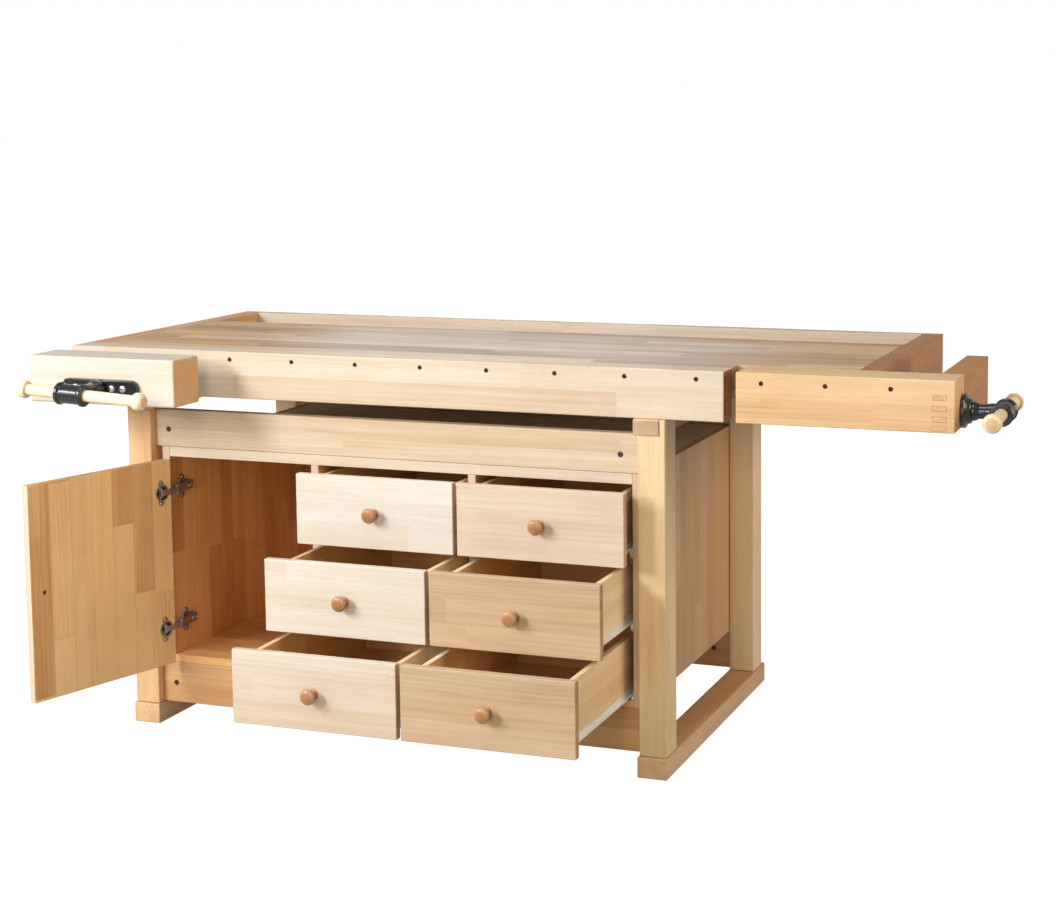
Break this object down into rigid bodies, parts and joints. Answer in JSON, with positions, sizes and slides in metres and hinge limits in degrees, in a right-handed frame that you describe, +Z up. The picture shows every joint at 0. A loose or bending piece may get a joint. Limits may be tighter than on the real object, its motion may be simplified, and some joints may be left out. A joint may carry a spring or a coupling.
{
  "type": "woodworking bench with vises",
  "caption": "Free-standing wooden woodworking bench with a front vise, a tail vise, a rear tool tray and a cabinet of drawers and a hinged door under the top.",
  "frame": {"origin": "on the floor, at the middle of the footprint of the whole bench as it stands in the picture", "axes": "+X to the right along the bench's length, +Y from the front to the back, +Z up"},
  "size_m": [2.122, 1.164, 0.86],
  "materials": {
    "blond_wood": "clear lacquer, satin",
    "pale_wood": "clear lacquer, satin",
    "worktop_wood": "oiled laminated staves, satin",
    "cabinet_wood": "clear lacquer, satin",
    "door_wood": "clear lacquer over laminated staves, satin",
    "drawer_wood": "clear lacquer, satin",
    "drawer_box_wood": "clear lacquer, satin",
    "knob_wood": "turned, clear lacquer",
    "handle_wood": "turned, clear lacquer",
    "black_iron": "black enamel, semi gloss",
    "bright_steel": "ground bright",
    "hinge_nickel": "nickel plated"
  },
  "bodies": {
    "root": {"top_slab": "worktop_wood", "front_apron": "pale_wood", "left_end_board": "blond_wood", "right_end_board": "blond_wood", "back_rail": "blond_wood", "tray_bottom": "worktop_wood", "left_foot": "blond_wood", "right_foot": "blond_wood", "front_left_leg": "blond_wood", "rear_left_leg": "blond_wood", "front_right_leg": "blond_wood", "rear_right_leg": "blond_wood", "left_top_beam": "blond_wood", "right_top_beam": "blond_wood", "front_top_rail": "pale_wood", "rear_top_rail": "blond_wood", "front_bottom_rail": "blond_wood", "rear_bottom_rail": "blond_wood", "cabinet_left_side": "cabinet_wood", "cabinet_right_side": "cabinet_wood", "cabinet_top": "cabinet_wood", "cabinet_bottom": "cabinet_wood", "cabinet_back": "cabinet_wood", "door_divider": "cabinet_wood", "drawer_divider": "cabinet_wood", "front_vise_nut": "black_iron", "tail_vise_nut": "black_iron"},
    "front_jaw": {"front_jaw": "pale_wood", "front_flange": "black_iron", "front_guide_left": "bright_steel", "front_guide_right": "bright_steel"},
    "front_screw": {"front_screw": "black_iron"},
    "front_handle": {"front_handle": "handle_wood"},
    "tail_jaw": {"tail_jaw_block": "blond_wood", "tail_end_board": "blond_wood", "tail_flange": "black_iron"},
    "tail_screw": {"tail_screw": "black_iron"},
    "tail_handle": {"tail_handle": "handle_wood"},
    "door": {"door_panel": "door_wood", "door_knob": "knob_wood", "upper_hinge_cup": "hinge_nickel", "lower_hinge_cup": "hinge_nickel"},
    "drawer_1_left": {"drawer_1_left_front": "drawer_wood", "drawer_1_left_box": "drawer_box_wood", "drawer_1_left_knob": "knob_wood"},
    "drawer_1_right": {"drawer_1_right_front": "drawer_wood", "drawer_1_right_box": "drawer_box_wood", "drawer_1_right_knob": "knob_wood"},
    "drawer_2_left": {"drawer_2_left_front": "drawer_wood", "drawer_2_left_box": "drawer_box_wood", "drawer_2_left_knob": "knob_wood"},
    "drawer_2_right": {"drawer_2_right_front": "drawer_wood", "drawer_2_right_box": "drawer_box_wood", "drawer_2_right_knob": "knob_wood"},
    "drawer_3_left": {"drawer_3_left_front": "drawer_wood", "drawer_3_left_box": "drawer_box_wood", "drawer_3_left_knob": "knob_wood"},
    "drawer_3_right": {"drawer_3_right_front": "drawer_wood", "drawer_3_right_box": "drawer_box_wood", "drawer_3_right_knob": "knob_wood"}
  },
  "joints": [
    {"name": "drawer_1_left_slide", "type": "slide", "parent": "root", "child": "drawer_1_left", "axis": [0, -1, 0], "range_m": [-0.07, 0.33]},
    {"name": "drawer_1_right_slide", "type": "slide", "parent": "root", "child": "drawer_1_right", "axis": [0, -1, 0], "range_m": [-0.07, 0.33]},
    {"name": "drawer_2_left_slide", "type": "slide", "parent": "root", "child": "drawer_2_left", "axis": [0, -1, 0], "range_m": [-0.211, 0.189]},
    {"name": "drawer_2_right_slide", "type": "slide", "parent": "root", "child": "drawer_2_right", "axis": [0, -1, 0], "range_m": [-0.211, 0.189]},
    {"name": "drawer_3_left_slide", "type": "slide", "parent": "root", "child": "drawer_3_left", "axis": [0, -1, 0], "range_m": [-0.35, 0.05]},
    {"name": "drawer_3_right_slide", "type": "slide", "parent": "root", "child": "drawer_3_right", "axis": [0, -1, 0], "range_m": [-0.35, 0.05]},
    {"name": "front_jaw_slide", "type": "slide", "parent": "root", "child": "front_jaw", "axis": [0, -1, 0], "range_m": [-0.0721, 0.0661]},
    {"name": "front_screw_spin", "type": "hinge", "parent": "front_jaw", "child": "front_screw", "pos_m": [-0.865, -0.473, 0.795], "axis": [0, -1, 0], "range_deg": [-4320, 3960]},
    {"name": "front_handle_slide", "type": "slide", "parent": "front_screw", "child": "front_handle", "axis": [0.9986, 0, -0.0523], "range_m": [-0.12, 0.076]},
    {"name": "tail_jaw_slide", "type": "slide", "parent": "root", "child": "tail_jaw", "axis": [1, 0, 0], "range_m": [-0.0241, 0.0961]},
    {"name": "tail_screw_spin", "type": "hinge", "parent": "tail_jaw", "child": "tail_screw", "pos_m": [1.037, -0.113, 0.79], "axis": [1, 0, 0], "range_deg": [-1440, 5760]},
    {"name": "tail_handle_slide", "type": "slide", "parent": "tail_screw", "child": "tail_handle", "axis": [0, 1, 0], "range_m": [-0.098, 0.098]},
    {"name": "door_hinge", "type": "hinge", "parent": "root", "child": "door", "pos_m": [-0.827, -0.207, 0.38], "axis": [0, 0, 1], "range_deg": [-3, 107]}
  ],
  "couplings": [
    {"joint": "front_jaw_slide", "follows": "front_screw_spin", "m_per_rad": 0.00095493},
    {"joint": "tail_jaw_slide", "follows": "tail_screw_spin", "m_per_rad": 0.00095493}
  ]
}
